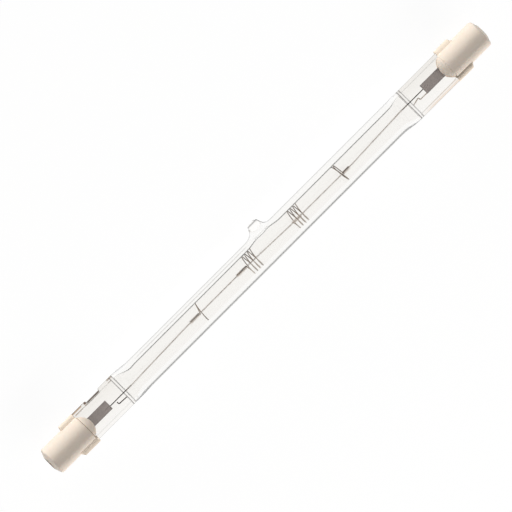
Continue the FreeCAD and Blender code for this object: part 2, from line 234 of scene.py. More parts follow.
# Clouds of a size in millimetres, noise whose middle values go from the dark colour to the light one.
def clouded(tree, own, size, look, dark, light):
    clouds = addNode(
        tree, "ShaderNodeTexNoise", {"Scale": 1 / size, "Detail": look["detail"]}, {"Vector": own},
    )
    tone = addNode(tree, "ShaderNodeValToRGB", links={"Fac": clouds.outputs["Fac"]})
    for element, place, colour in zip(tone.color_ramp.elements, look["spread"], (dark, light)):
        element.position = place
        element.color = linear(colour)
    return clouds.outputs["Fac"], tone.outputs["Color"]


# Fused quartz, drawn and fire-polished: colourless and clear, with faint lines along the draw. Where the
# eye meets its walls edge on, grey is painted into its colour: painted dark reflections, heavier on some
# sides.
# Light that has been through many walls goes straight on, so that the thick corners stay clear.
def fusedQuartz():
    look = {"ior": 1.46, "lineLength": 30.0, "lineWidth": 1.6, "lineDepth": 0.0012, "mostWalls": 3.0,
            "clear": "#FAF9F7", "edge": "#1E1D1C", "edgeSpan": 0.12, "fadeSpan": 0.13, "faded": 0.25,
            "roughness": 0.0}
    material, tree, own = newMaterial("fused quartz, drawn")
    stretched = addNode(
        tree, "ShaderNodeMapping",
        {"Scale": (look["lineWidth"] / look["lineLength"], 1, 1)}, {"Vector": own},
    )
    lines = addNode(
        tree, "ShaderNodeTexNoise", {"Scale": 1 / look["lineWidth"], "Detail": 1.0},
        {"Vector": stretched.outputs["Vector"]},
    )
    bump = addNode(
        tree, "ShaderNodeBump", {"Strength": 1.0, "Distance": look["lineDepth"] * millimetre},
        {"Height": lines.outputs["Fac"]},
    )
    # painted dark reflections: the colour goes towards the edge grey where a wall is seen edge on, by each
    # side's share
    slant = addNode(tree, "ShaderNodeLayerWeight", {"Blend": 0.5})
    start = addNode(tree, "ShaderNodeAttribute", attribute_name="edgeStart")
    stop = addNode(
        tree, "ShaderNodeMath", {1: look["edgeSpan"]}, {0: start.outputs["Fac"]}, operation="ADD",
    )
    onEdge = addNode(
        tree, "ShaderNodeMapRange",
        links={"Value": slant.outputs["Facing"], "From Min": start.outputs["Fac"],
               "From Max": stop.outputs["Value"]},
    )
    fadeStart = addNode(tree, "ShaderNodeAttribute", attribute_name="edgeStop")
    fadeStop = addNode(
        tree, "ShaderNodeMath", {1: look["fadeSpan"]}, {0: fadeStart.outputs["Fac"]}, operation="ADD"
    )
    fading = addNode(
        tree, "ShaderNodeMapRange", {"To Min": 1.0, "To Max": look["faded"]},
        {"Value": slant.outputs["Facing"], "From Min": fadeStart.outputs["Fac"],
         "From Max": fadeStop.outputs["Value"]},
    )
    onLine = addNode(
        tree, "ShaderNodeMath",
        links={0: onEdge.outputs["Result"], 1: fading.outputs["Result"]}, operation="MULTIPLY",
    )
    paintedEdgeShade = addNode(tree, "ShaderNodeAttribute", attribute_name="paintedEdgeShade")
    grey = addNode(
        tree, "ShaderNodeMath",
        links={0: onLine.outputs["Value"], 1: paintedEdgeShade.outputs["Fac"]}, operation="MULTIPLY",
    )
    greyed = addNode(
        tree, "ShaderNodeMix", {mixFirst: linear(look["clear"]), mixSecond: linear(look["edge"])},
        {mixShare: grey.outputs["Value"]}, data_type="RGBA",
    )
    # the tint carries sooty marks, and also painted light: reflected cement colour, dark lines at the rim
    # and steps, grey over the seals
    tint = addNode(tree, "ShaderNodeAttribute", attribute_name="tint")
    tinted = addNode(
        tree, "ShaderNodeMix", {mixShare: 1.0},
        {mixFirst: greyed.outputs[mixResult], mixSecond: tint.outputs["Color"]},
        data_type="RGBA", blend_type="MULTIPLY",
    )
    glass = addNode(
        tree, "ShaderNodeBsdfPrincipled",
        {"Transmission Weight": 1.0, "IOR": look["ior"], "Roughness": look["roughness"]},
        {"Base Color": tinted.outputs[mixResult], "Normal": bump.outputs["Normal"]},
    )
    clear = addNode(tree, "ShaderNodeBsdfTransparent")
    rays = addNode(tree, "ShaderNodeLightPath")
    spent = addNode(
        tree, "ShaderNodeMath",
        {1: look["mostWalls"]}, {0: rays.outputs["Ray Depth"]}, operation="GREATER_THAN",
    )
    onward = addNode(
        tree, "ShaderNodeMixShader",
        links={0: spent.outputs["Value"], 1: glass.outputs["BSDF"], 2: clear.outputs["BSDF"]},
    )
    through = addNode(
        tree, "ShaderNodeMixShader",
        links={0: rays.outputs["Is Shadow Ray"], 1: onward.outputs["Shader"], 2: clear.outputs["BSDF"]},
    )
    finishMaterial(tree, through.outputs["Shader"])
    return material


# Unglazed steatite, pressed and fired: warm cream, matt, with a fine even grain. The grain is drawn coarser
# than the real one, so that it shows.
def steatite():
    look = {"light": "#F5E7D8", "dark": "#F1E2D2", "grain": 0.35, "pore": 0.1, "poreDepth": 0.002,
            "detail": 4.0, "spread": (0.3, 0.7), "recessShade": "#6A5342", "mouthRadius": 1.36, "mouthAt": 57.0,
            "creaseShade": "#A58B70", "creaseRadius": 2.93, "creaseFrom": -49.26, "creaseTo": -49.04,
            "creaseSoft": 0.03, "roughness": 0.5, "ior": 1.5, "relief": 0.6, "depthShare": 0.15,
            "depthColour": (1.0, 0.7, 0.5), "depth": 0.5}
    material, tree, own = newMaterial("steatite, unglazed")
    _, tone = clouded(tree, own, look["grain"], look, look["dark"], look["light"])
    # painted shade: the recess in the end is painted dark brown, and the left crease below the dome darker
    parts = addNode(tree, "ShaderNodeSeparateXYZ", links={"Vector": own})
    outward = addNode(
        tree, "ShaderNodeCombineXYZ", links={"Y": parts.outputs["Y"], "Z": parts.outputs["Z"]}
    )
    radius = addNode(tree, "ShaderNodeVectorMath", links={0: outward.outputs["Vector"]}, operation="LENGTH")
    narrow = addNode(
        tree, "ShaderNodeMath",
        {1: look["mouthRadius"]}, {0: radius.outputs["Value"]}, operation="LESS_THAN",
    )
    along = addNode(tree, "ShaderNodeMath", links={0: parts.outputs["X"]}, operation="ABSOLUTE")
    deep = addNode(
        tree, "ShaderNodeMath", {1: look["mouthAt"]}, {0: along.outputs["Value"]}, operation="GREATER_THAN"
    )
    inside = addNode(
        tree, "ShaderNodeMath",
        links={0: narrow.outputs["Value"], 1: deep.outputs["Value"]}, operation="MULTIPLY",
    )
    low = addNode(
        tree, "ShaderNodeMath",
        {1: look["creaseRadius"]}, {0: radius.outputs["Value"]}, operation="LESS_THAN",
    )
    atCrease = band(tree, parts.outputs["X"], look["creaseFrom"], look["creaseTo"], look["creaseSoft"])
    inCrease = addNode(
        tree, "ShaderNodeMath", links={0: low.outputs["Value"], 1: atCrease}, operation="MULTIPLY",
    )
    creaseShaded = addNode(
        tree, "ShaderNodeMix", {mixSecond: linear(look["creaseShade"])},
        {mixShare: inCrease.outputs["Value"], mixFirst: tone}, data_type="RGBA",
    )
    colour = addNode(
        tree, "ShaderNodeMix", {mixSecond: linear(look["recessShade"])},
        {mixShare: inside.outputs["Value"], mixFirst: creaseShaded.outputs[mixResult]}, data_type="RGBA",
    )
    pores = addNode(tree, "ShaderNodeTexNoise", {"Scale": 1 / look["pore"], "Detail": 2.0}, {"Vector": own})
    bump = addNode(
        tree, "ShaderNodeBump", {"Strength": look["relief"], "Distance": look["poreDepth"] * millimetre},
        {"Height": pores.outputs["Fac"]},
    )
    body = addNode(
        tree, "ShaderNodeBsdfPrincipled",
        {"Roughness": look["roughness"], "IOR": look["ior"], "Subsurface Weight": look["depthShare"],
         "Subsurface Radius": look["depthColour"], "Subsurface Scale": look["depth"] * millimetre},
        {"Base Color": colour.outputs[mixResult], "Normal": bump.outputs["Normal"]},
    )
    finishMaterial(tree, body.outputs["BSDF"])
    return material


# Basing cement, cast and baked: peach, chalky, with small grains.
def basingCement():
    look = {"light": "#FAEBDA", "dark": "#F3E2CD", "grain": 0.3, "grainDepth": 0.012, "detail": 5.0,
            "spread": (0.35, 0.65), "roughness": 0.8, "ior": 1.5, "relief": 0.8}
    material, tree, own = newMaterial("basing cement, baked")
    grains, tone = clouded(tree, own, look["grain"], look, look["dark"], look["light"])
    bump = addNode(
        tree, "ShaderNodeBump", {"Strength": look["relief"], "Distance": look["grainDepth"] * millimetre},
        {"Height": grains},
    )
    body = addNode(
        tree, "ShaderNodeBsdfPrincipled", {"Roughness": look["roughness"], "IOR": look["ior"]},
        {"Base Color": tone, "Normal": bump.outputs["Normal"]},
    )
    finishMaterial(tree, body.outputs["BSDF"])
    return material


# Molybdenum foil, rolled and etched: mid grey with fine marks across it and dark feathered edges.
def molybdenumFoil():
    look = {"face": "#A59C99", "edge": "#6E6562", "ribPitch": 0.28, "ribDepth": 0.006,
            "halfWidth": 1.065, "edgeWidth": 0.16, "start": 42.8, "endWidth": 0.14, "roughness": 0.5,
            "relief": 0.8}
    material, tree, own = newMaterial("molybdenum foil, etched")
    parts = addNode(tree, "ShaderNodeSeparateXYZ", links={"Vector": own})
    across = addNode(tree, "ShaderNodeMath", links={0: parts.outputs["Y"]}, operation="ABSOLUTE")
    along = addNode(tree, "ShaderNodeMath", links={0: parts.outputs["X"]}, operation="ABSOLUTE")
    sides = addNode(
        tree, "ShaderNodeMapRange",
        {"From Min": look["halfWidth"] - look["edgeWidth"], "From Max": look["halfWidth"]},
        {"Value": across.outputs["Value"]},
    )
    tip = addNode(
        tree, "ShaderNodeMapRange",
        {"From Min": look["start"] + look["endWidth"], "From Max": look["start"]},
        {"Value": along.outputs["Value"]},
    )
    rim = addNode(
        tree, "ShaderNodeMath",
        links={0: sides.outputs["Result"], 1: tip.outputs["Result"]}, operation="MAXIMUM",
    )
    ribs = addNode(
        tree, "ShaderNodeTexWave",
        {"Scale": waveRepeat / look["ribPitch"], "Distortion": 1.2, "Detail": 2.0, "Detail Scale": 2.0},
        {"Vector": own}, bands_direction="X",
    )
    tone = addNode(
        tree, "ShaderNodeMix", {mixFirst: linear(look["face"]), mixSecond: linear(look["edge"])},
        {mixShare: rim.outputs["Value"]}, data_type="RGBA",
    )
    bump = addNode(
        tree, "ShaderNodeBump", {"Strength": look["relief"], "Distance": look["ribDepth"] * millimetre},
        {"Height": ribs.outputs["Fac"]},
    )
    metal = addNode(
        tree, "ShaderNodeBsdfPrincipled", {"Metallic": 1.0, "Roughness": look["roughness"]},
        {"Base Color": tone.outputs[mixResult], "Normal": bump.outputs["Normal"]},
    )
    finishMaterial(tree, metal.outputs["BSDF"])
    return material


# Tungsten, drawn and heated: dark grey wire with a warm tarnish that comes and goes along it, pale where a
# lead is welded to its foil. The filament is burnt to a paler grey; parts of the supports have a painted
# highlight.
def tungsten(name, bare, tarnish):
    look = {"bare": bare, "tarnish": tarnish, "patch": 0.8, "drawDepth": 0.002, "drawPitch": 0.05,
            "weld": "#A59C99", "weldAt": 42.8, "paintedHighlight": "#E4DCD4", "detail": 3.0,
            "spread": (0.35, 0.65), "roughness": 0.35, "relief": 0.5}
    material, tree, own = newMaterial(name)
    _, tone = clouded(tree, own, look["patch"], look, look["tarnish"], look["bare"])
    parts = addNode(tree, "ShaderNodeSeparateXYZ", links={"Vector": own})
    along = addNode(tree, "ShaderNodeMath", links={0: parts.outputs["X"]}, operation="ABSOLUTE")
    welded = addNode(
        tree, "ShaderNodeMath", {1: look["weldAt"]}, {0: along.outputs["Value"]}, operation="GREATER_THAN"
    )
    withWeld = addNode(
        tree, "ShaderNodeMix", {mixSecond: linear(look["weld"])},
        {mixShare: welded.outputs["Value"], mixFirst: tone}, data_type="RGBA",
    )
    paintedHighlight = addNode(tree, "ShaderNodeAttribute", attribute_name="paintedHighlight")  # 0 where a mesh doesn't have it
    colour = addNode(
        tree, "ShaderNodeMix", {mixSecond: linear(look["paintedHighlight"])},
        {mixShare: paintedHighlight.outputs["Fac"], mixFirst: withWeld.outputs[mixResult]}, data_type="RGBA",
    )
    scratches = addNode(
        tree, "ShaderNodeTexNoise", {"Scale": 1 / look["drawPitch"], "Detail": 1.0}, {"Vector": own},
    )
    bump = addNode(
        tree, "ShaderNodeBump", {"Strength": look["relief"], "Distance": look["drawDepth"] * millimetre},
        {"Height": scratches.outputs["Fac"]},
    )
    metal = addNode(
        tree, "ShaderNodeBsdfPrincipled", {"Metallic": 1.0, "Roughness": look["roughness"]},
        {"Base Color": colour.outputs[mixResult], "Normal": bump.outputs["Normal"]},
    )
    finishMaterial(tree, metal.outputs["BSDF"])
    return material


# Nickel-plated contact, pressed: warm grey, satin, with turned rings.
def nickelContact():
    look = {"bright": "#C9BFAF", "dull": "#A2957F", "cloud": 0.5, "detail": 3.0, "spread": (0.35, 0.65),
            "ringPitch": 0.12, "ringDepth": 0.004, "roughness": 0.4, "relief": 0.5}
    material, tree, own = newMaterial("nickel plate, satin")
    rings = addNode(
        tree, "ShaderNodeTexWave", {"Scale": waveRepeat / look["ringPitch"], "Distortion": 0.6},
        {"Vector": own}, wave_type="RINGS", rings_direction="X",
    )
    _, tone = clouded(tree, own, look["cloud"], look, look["dull"], look["bright"])
    bump = addNode(
        tree, "ShaderNodeBump", {"Strength": look["relief"], "Distance": look["ringDepth"] * millimetre},
        {"Height": rings.outputs["Fac"]},
    )
    metal = addNode(
        tree, "ShaderNodeBsdfPrincipled", {"Metallic": 1.0, "Roughness": look["roughness"]},
        {"Base Color": tone, "Normal": bump.outputs["Normal"]},
    )
    finishMaterial(tree, metal.outputs["BSDF"])
    return material


quartz = fusedQuartz()
ceramic = steatite()
cement = basingCement()
foilMetal = molybdenumFoil()
wireMetal = tungsten("tungsten wire, drawn", "#54483E", "#2A211A")
supportMetal = tungsten("tungsten support, tarnished", "#8A7868", "#574636")
filamentMetal = tungsten("tungsten filament, burnt", "#D2CBC4", "#ACA096")
contactMetal = nickelContact()
nodeFinish = {
    "end_contact": contactMetal, "molybdenum_foil": foilMetal, "outer_lead": foilMetal,
    "inner_lead": wireMetal, "lead_tail": wireMetal,
}
for stem, finish in nodeFinish.items():
    for end in ends:
        mesh = bpy.data.objects[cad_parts[f"{stem}_{end}"].name].data
        mesh.materials.clear()
        mesh.materials.append(finish)
rightTail = bpy.data.objects[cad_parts["lead_tail_right"].name].data
rightTail.materials[0] = filamentMetal  # paler than the left one: a painted highlight
print("materials made")

# Quartz envelope: the tube, flared down to a flat seal at each end, with the exhaust tip on its side.
envelope = {
    "sides": 168, "crowding": 0.5, "endGap": 0.05, "squareness": 9.0, "buriedSquareness": 5.0,
    "buriedLead": 0.35, "buriedLag": 0.1, "webHalfThick": 0.8, "railHeight": 0.29, "railWidth": 0.65,
    "ridgeLength": 0.45, "stepWidth": 0.2, "nickSetback": 3.5, "nickLength": 3.3, "nickDepth": 0.35,
    "nickSoft": 0.1, "nickInner": 2.9, "nickOuter": 3.2,
    "boreSides": 96, "cavityStop": 0.17, "cavityHalfWidth": 2.8, "cavityHalfHeight": 0.28,
    "cavityRound": 0.2, "slotSteepness": 3, "slotClosing": 0.2, "archHeight": 0.26, "archFrom": 0.8,
    "archTo": 4.4,
    "tipPlace": 1.24, "tipRim": 1.16, "tipSpread": 0.6, "tipCurve": 1.15, "tipLeft": 1.18, "tipRight": 0.75,
    "tipFoot": 4.2, "levelFrom": 1.05, "levelTo": 1.5, "restShare": 0.998,
    # the tip's top: its lift, each bump's place and height, their width, and where it runs out
    "topLift": 0.12, "bumps": [(0.45, 0.2), (-0.4, 0.08)], "bumpWidth": 0.3, "topFrom": 0.65, "topTo": 0.95,
    # painted dark reflections: how far each wall is painted grey where it is seen edge on, from which slant
    # and to which slant
    "tipSide": (0.6, 0.6, 0.84), "farSide": (0.9, 0.43, 0.65), "sideSoft": 2.0,
    "sealSide": (0.7, 0.38, 1.0), "sealSideLead": 0.3,
    "boreTipSide": (1.0, 0.5, 1.0), "boreFarSide": (0.0, 0.5, 1.0), "boreSideSoft": 1.5,
    "flankLeft": (0.45, 0.5, 0.9), "flankRight": (0.9, 0.5, 0.9), "flankFrom": 1.8, "flankTo": 2.8,
    "flareLeft": 0.65, "flareRight": 0.3,  # how much sooner the flares grey
    # a second faint line along the front of the tube's left half, outside the bore's edge, a painted
    # reflection line
    "paintedWallLine": "#A8A5A2", "wallLineAt": 2.7, "wallLineWidth": 0.07, "wallLineFade": 2,
    # painted light in the glass: the cement's colour reflected in the right seal's edge, dark lines on the
    # tip's rim and at the ridge and rail steps, and grey over the seals, more towards the tip, all painted
    "paintedCementReflection": "#F3E4D7", "glowInner": 2.95, "glowOuter": 3.15, "glowLength": 4,
    "rim": "#2A221D", "rimOut": 0.03, "rimWidth": 0.08,
    "step": "#4E4B49", "stepLineWidth": 0.07, "stepLineLead": 0.1,
    "rail": "#A09C99", "railLineWidth": 0.06, "railFaint": 0.45,
    "sealLow": "#FCFBFA", "sealHigh": "#F3F2F0", "sealShadeReach": 3,
    # sooty marks on the left seal's edge: from and to along it, from and to across it, colour
    "marks": [
        (46.9, 49.4, 3.4, 3.9, "#A58263"), (46.4, 49.4, 3.62, 3.9, "#6E5F55"),
        (45.75, 46.1, 3.2, 3.9, "#6B5444"), (42.3, 45.6, 3.1, 3.5, "#3A2C22"),
        (38.7, 39.9, 3.4, 3.9, "#8C7A6C"),
    ],
    "markSoftAlong": 0.12, "markSoftAcross": 0.06,
}


# Height of the tip above the tube at a distance from its middle: flat to the rim, then the rim's height
# times exp(-(way past the rim / spread)^curve), which runs out into the tube. Two low bells top it.
def tipHeight(aside, distance):
    e = envelope
    past = np.clip(distance - e["tipRim"], 0, None) / e["tipSpread"]
    flank = (bulb["tipReach"] - bulb["tubeRadius"]) * np.exp(-past ** e["tipCurve"])
    top = e["topLift"]
    for place, height in e["bumps"]:
        top = top + height * bell(place, e["bumpWidth"], aside)
    return flank + top * (1 - eased(e["topFrom"], e["topTo"], distance))


def sidesOf(y, soft, tipSide, farSide):  # one side's values eased into the other's
    share = eased(-soft, soft, -y)[..., None]
    return (1 - share) * np.array(tipSide) + share * np.array(farSide)


# Outer skin: at each place along x the section is |y/a|^n + |z/b|^n = 1. a and b ease from the tube's
# radius to the seal's half sizes by half a cosine wave, and n rises from 2, a circle, to a rounded slab.
# The seal's border, a cross ridge and two side rails, is lifted above its web, and the tip is added to y.
def outerSkin():
    e = envelope
    end = sealEnd - e["endGap"]  # just short of the cement, so that no two faces lie in one plane
    tip = e["tipPlace"]
    places = dense(  # from, to and how many, closest together where the form changes fastest
        (-end, end, 50), (-end, -sealStart, 90), (sealStart, end, 24),
        (-sealStart - 0.8, 0.3 - sealStart, 30), (sealStart - 0.3, sealStart + 0.8, 30),
        (-sealStart, -flareStart, 22), (flareStart, sealStart, 22),
        (tip - 2.0, tip + 1.8, 116), (tip - 5, tip + 4, 30),
    )
    turn = around(e["sides"])
    turn = turn - e["crowding"] * np.sin(turn)  # closer together round the tip
    x, angle = np.meshgrid(places, turn, indexing="ij")
    reach = np.abs(x)
    flat = halfWave(flareStart, bulb["flareLength"], reach)
    halfWidth = bulb["tubeRadius"] + (bulb["sealHalfWidth"] - bulb["tubeRadius"]) * flat
    halfThick = bulb["tubeRadius"] + (e["webHalfThick"] - bulb["tubeRadius"]) * flat
    inSeal = eased(sealStart - e["stepWidth"], sealStart, reach)
    buried = eased(capInner - e["buriedLead"], capInner + e["buriedLag"], reach)  # covered by the cement
    square = 2 + (e["squareness"] - 2) * inSeal + (e["buriedSquareness"] - e["squareness"]) * buried
    y = halfWidth * signedPower(np.cos(angle), 2 / square)
    z = halfThick * signedPower(np.sin(angle), 2 / square)
    panelStart = sealStart + e["ridgeLength"]
    halfStep = e["stepWidth"] / 2
    ridge = 1 - eased(panelStart - halfStep, panelStart + halfStep, reach)
    railAt = bulb["sealHalfWidth"] - e["railWidth"]
    rail = eased(railAt - e["stepWidth"], railAt, np.abs(y))
    z = z * (1 + e["railHeight"] / e["webHalfThick"] * inSeal * np.maximum(ridge, rail * (1 - buried)))
    # painted dark lines beside the rail steps, full on the right seal's far side and faint elsewhere
    railLine = bell(railAt - halfStep, e["railLineWidth"], np.abs(y))
    railLine = railLine * eased(panelStart, panelStart + e["stepWidth"], reach)
    railLine = railLine * np.where((x > 0) & (y < 0), 1, e["railFaint"])
    nickFrom = sealStart + e["nickSetback"]
    nickTo = nickFrom + e["nickLength"]
    nick = softSpan(-nickTo, -nickFrom, e["nickSoft"], x)
    y = y - e["nickDepth"] * nick * eased(e["nickInner"], e["nickOuter"], y)
    y = y - bulb["sealShift"] * flat * np.sign(x)
    aside = x - tip
    distance = np.hypot(aside, z)
    endwise = np.abs(aside) / np.maximum(distance, 1e-6)
    stretch = 1 + (np.where(aside < 0, e["tipLeft"], e["tipRight"]) - 1) * endwise  # wider on the left
    distance = np.where(distance > e["tipRim"], e["tipRim"] + (distance - e["tipRim"]) / stretch, distance)
    onTip = (y > 0) & (distance < e["tipFoot"])
    level = 1 - eased(e["tipRim"] * e["levelFrom"], e["tipRim"] * e["levelTo"], distance)
    y = np.where(onTip, y + tipHeight(aside, distance) + level * (bulb["tubeRadius"] - y), y)
    resting = (e["restShare"] * bulb["tubeRadius"] + z * math.cos(roll)) / math.sin(roll)
    y = np.where(onTip, np.minimum(y, resting), y)  # the rim's underside is flat on the table
    # painted dark reflections: each point's grey share and slants, by side, on the flares, the seals and
    # the tip's flanks
    edges = sidesOf(y, e["sideSoft"], e["tipSide"], e["farSide"])
    edges[..., 1] *= 1 - np.where(x < 0, e["flareLeft"], e["flareRight"]) * flat
    edges[..., 2] += (1 - edges[..., 2]) * flat
    edges = np.where((reach > sealStart - e["sealSideLead"])[..., None], e["sealSide"], edges)
    onFlank = (onTip * (1 - eased(e["flankFrom"], e["flankTo"], distance)))[..., None]
    edges = edges + onFlank * (np.where((aside < 0)[..., None], e["flankLeft"], e["flankRight"]) - edges)
    # painted reflection line along the front of the left half
    paintedWallLine = bell(e["wallLineAt"], e["wallLineWidth"], y) * (z > 0)
    paintedWallLine = paintedWallLine * eased(-flareStart, e["wallLineFade"] - flareStart, x)
    paintedWallLine = paintedWallLine * eased(e["wallLineFade"], 2 * e["wallLineFade"], -x)
    # painted reflection of the cement's colour in the right seal's lower edge
    cementReflected = eased(e["glowInner"], e["glowOuter"], -y - bulb["sealShift"])
    cementReflected = cementReflected * eased(sealStart, sealStart + e["glowLength"], x)
    # painted dark line round the tip's rim, where the glass is seen edge on
    rim = bell(e["tipRim"] + e["rimOut"], e["rimWidth"], distance) * onTip
    # painted dark lines at the ridge's two steps
    steps = bell(panelStart, e["stepLineWidth"], reach)
    steps = steps + bell(sealStart - e["stepLineLead"], e["stepLineWidth"], reach)
    # painted shade: the seals greyed a little all over and more towards the tip side
    paintedSealShade = inSeal * (0.5 + 0.5 * np.clip(y / e["sealShadeReach"], -1, 1))
    stains = [
        (paintedWallLine, e["paintedWallLine"]), (cementReflected, e["paintedCementReflection"]), (rim, e["rim"]), (steps, e["step"]),
        (railLine, e["rail"]), (inSeal, e["sealLow"]), (paintedSealShade, e["sealHigh"]),
    ]
    for alongFrom, alongTo, acrossFrom, acrossTo, colour in e["marks"]:
        stain = softSpan(alongFrom, alongTo, e["markSoftAlong"], -x)
        stains.append((stain * softSpan(acrossFrom, acrossTo, e["markSoftAcross"], y), colour))
    tint = np.ones(x.shape + (4,))
    for share, colour in stains:
        tint = tint * (1 + share[..., None] * (np.array(linear(colour)) - 1))
    return closedShell(laid(x, y, z)), edges, tint


# Inner skin: the bore, a circle of half height h that eases to a flat slot, as its sides are spread by the
# rest of the half width times a steep tanh of the cosine. An elliptic end closes it, and along its tip side
# it arches up a little under the tip.
def innerSkin():
    e = envelope
    end = sealStart - e["cavityStop"]
    tip = e["tipPlace"]
    places = dense(
        (-end, end, 60), (-end, 0.3 - end, 10), (end - 0.3, end, 10), (-end, -flareStart, 24),
        (flareStart, end, 24), (tip - 5, tip + 5, 40),
    )[1:-1]
    x, angle = np.meshgrid(places, around(e["boreSides"]), indexing="ij")
    reach = np.abs(x)
    flat = halfWave(flareStart, end - flareStart, reach)
    closing = np.sqrt(1 - np.clip((reach - end + e["cavityRound"]) / e["cavityRound"], 0, 1) ** 2)
    halfWidth = bulb["boreRadius"] + (e["cavityHalfWidth"] - bulb["boreRadius"]) * flat
    halfHeight = bulb["boreRadius"] + (e["cavityHalfHeight"] - bulb["boreRadius"]) * flat
    spread = np.tanh(e["slotSteepness"] * np.cos(angle)) / math.tanh(e["slotSteepness"])
    y = halfHeight * np.cos(angle) + (halfWidth - halfHeight) * closing ** e["slotClosing"] * spread
    z = halfHeight * closing * np.sin(angle)
    y = y - bulb["sealShift"] * flat * np.sign(x)
    arch = 1 - eased(e["archFrom"], e["archTo"], np.abs(x - tip))
    y = y + e["archHeight"] * arch * np.clip(np.cos(angle), 0, None) ** 2
    # painted dark reflections along the bore's edges, on its tip side only
    edges = sidesOf(y, e["boreSideSoft"], e["boreTipSide"], e["boreFarSide"])
    return closedShell(laid(x, y, z), hollow=True), edges, np.ones(x.shape + (4,))


def withPoles(values):  # a value for each point of a shell's rings, then for its two poles
    flat = values.reshape(values.shape[0] * values.shape[1], -1)
    return np.concatenate([flat, flat[:1], flat[-1:]])


outer, outerEdges, outerTint = outerSkin()
inner, innerEdges, innerTint = innerSkin()
glassMesh = meshOf("glass_envelope", [outer, inner])
glassEdges = np.concatenate([withPoles(outerEdges), withPoles(innerEdges)])
# the painted edge shade: its share, and the slants at which it starts and fades
for place, name in enumerate(["paintedEdgeShade", "edgeStart", "edgeStop"]):
    edgeLayer = glassMesh.attributes.new(name, "FLOAT", "POINT")
    edgeLayer.data.foreach_set("value", glassEdges[:, place].copy())
tintLayer = glassMesh.attributes.new("tint", "FLOAT_COLOR", "POINT")
tintLayer.data.foreach_set("color", np.concatenate([withPoles(outerTint), withPoles(innerTint)]).ravel())
addPiece("glass_envelope", glassMesh, quartz, "quartz_envelope")
print("quartz envelope made")

# Ceramic caps: a profile turned about x, less the slot that takes the seal.
cap = {
    "crown": 0.4, "edgeRound": 0.45, "lipRadius": 1.7, "recessRadius": 1.3, "recessDepth": 1.6,
    "pocketRadius": 1.0, "pocketDepth": 0.8, "studRadius": 0.65, "domeRadius": 2.92, "domeLength": 1.9,
    "mouthRound": 0.1, "lipAngle": 66, "crease": 0.1, "studOverlap": 0.2, "slotLead": 3, "slotReach": 8,
    "sides": 128,
}


def arcPoints(centre, radius, start, stop, count):  # along and out from the axis, angles in degrees
    angle = np.radians(np.linspace(start, stop, count))
    return np.stack([centre[0] + radius * np.cos(angle), centre[1] + radius * np.sin(angle)], axis=-1)


# Profile: part of a ball for the dome, a crease, a rounded rim, the straight barrel, a rounded shoulder,
# the low crown with a rounded lip, then down the recess, the contact's pocket and the stud hole.
def capProfile():
    c = cap
    ball = (c["domeRadius"] ** 2 + c["domeLength"] ** 2) / (2 * c["domeLength"])
    ballMiddle = capInner - c["domeLength"] + ball
    domeEdge = math.degrees(math.asin((c["domeRadius"] - c["crease"]) / ball))
    rim, lip, end = bulb["rimRound"], c["mouthRound"], bulb["halfLength"]
    edgeAt = end - c["crown"] - c["edgeRound"]
    floorAt = end - c["recessDepth"]
    seatAt = floorAt - c["pocketDepth"]
    return np.concatenate([
        arcPoints((ballMiddle, 0), ball, 180, 180 - domeEdge, 24)[1:],
        [(capInner + c["crease"], c["domeRadius"] - c["crease"])],  # the crease between dome and barrel
        arcPoints((capInner + rim, bulb["capRadius"] - rim), rim, 180, 90, 6),
        arcPoints((edgeAt, bulb["capRadius"] - c["edgeRound"]), c["edgeRound"], 90, 0, 12)[:-2],
        arcPoints((end - lip, c["lipRadius"] - lip), lip, c["lipAngle"], 0, 5),
        arcPoints((end - lip, c["recessRadius"] + lip), lip, 0, -90, 6),
        [(floorAt, c["recessRadius"]), (floorAt, c["pocketRadius"]), (seatAt, c["pocketRadius"]),
         (seatAt, c["studRadius"]), (slotEnd - c["studOverlap"], c["studRadius"])],
    ])


# A box as a four-sided shell: corners in order round each of its two ends.
def boxShell(low, high, moved):
    x = np.array([low[0], high[0]])[:, None] + np.zeros(4)
    y = np.array([low[1], high[1], high[1], low[1]])[None] + np.zeros((2, 1))
    z = np.array([low[2], low[2], high[2], high[2]])[None] + np.zeros((2, 1))
    return closedShell(laid(*moved(x, y, z)))


def capShell(moved):  # the profile turned about x
    profile = capProfile()
    angle = around(cap["sides"])
    out = profile[:, 1:]
    return closedShell(laid(*moved(profile[:, :1] + 0 * angle, out * np.cos(angle), out * np.sin(angle))))


for end, moved in ends.items():
    slotLow = (capInner - cap["slotLead"], -cap["slotReach"], -bulb["slotHalf"])
    slotHigh = (slotEnd, cap["slotReach"], bulb["slotHalf"])
    slotBox = boxShell(slotLow, slotHigh, moved)
    capMesh = cutAway(meshOf("cap", [capShell(moved)]), meshOf("slot", [slotBox]))
    capMesh.name = f"cap_{end}"
    addPiece(f"cap_{end}", capMesh, ceramic, f"ceramic_cap_{end}", sharpAngle=32)
print("caps made")

# Cement: fills the slot round the seal and stands out beside it as two rounded ears.
ears = {
    "reach": 3.82, "chamfer": 0.45, "edgeRound": 0.1, "inset": 0.01, "sides": 96, "turned": 0.01,
    "sealLead": 2, "sealSides": 72,
}
# for each end, the ear that the seal leans to and then the other: half width of the flat, squareness, how
# steeply it narrows over the chamfer and how far past the cap's rim it has run out
earForms = {
    "right": [(2.6, 1.9, 1.6, 0.35), (2.0, 2.5, 2.0, 0.0)],
    "left": [(2.8, 3.0, 6.0, 0.0), (2.6, 1.3, 1.6, 0.55)],
}


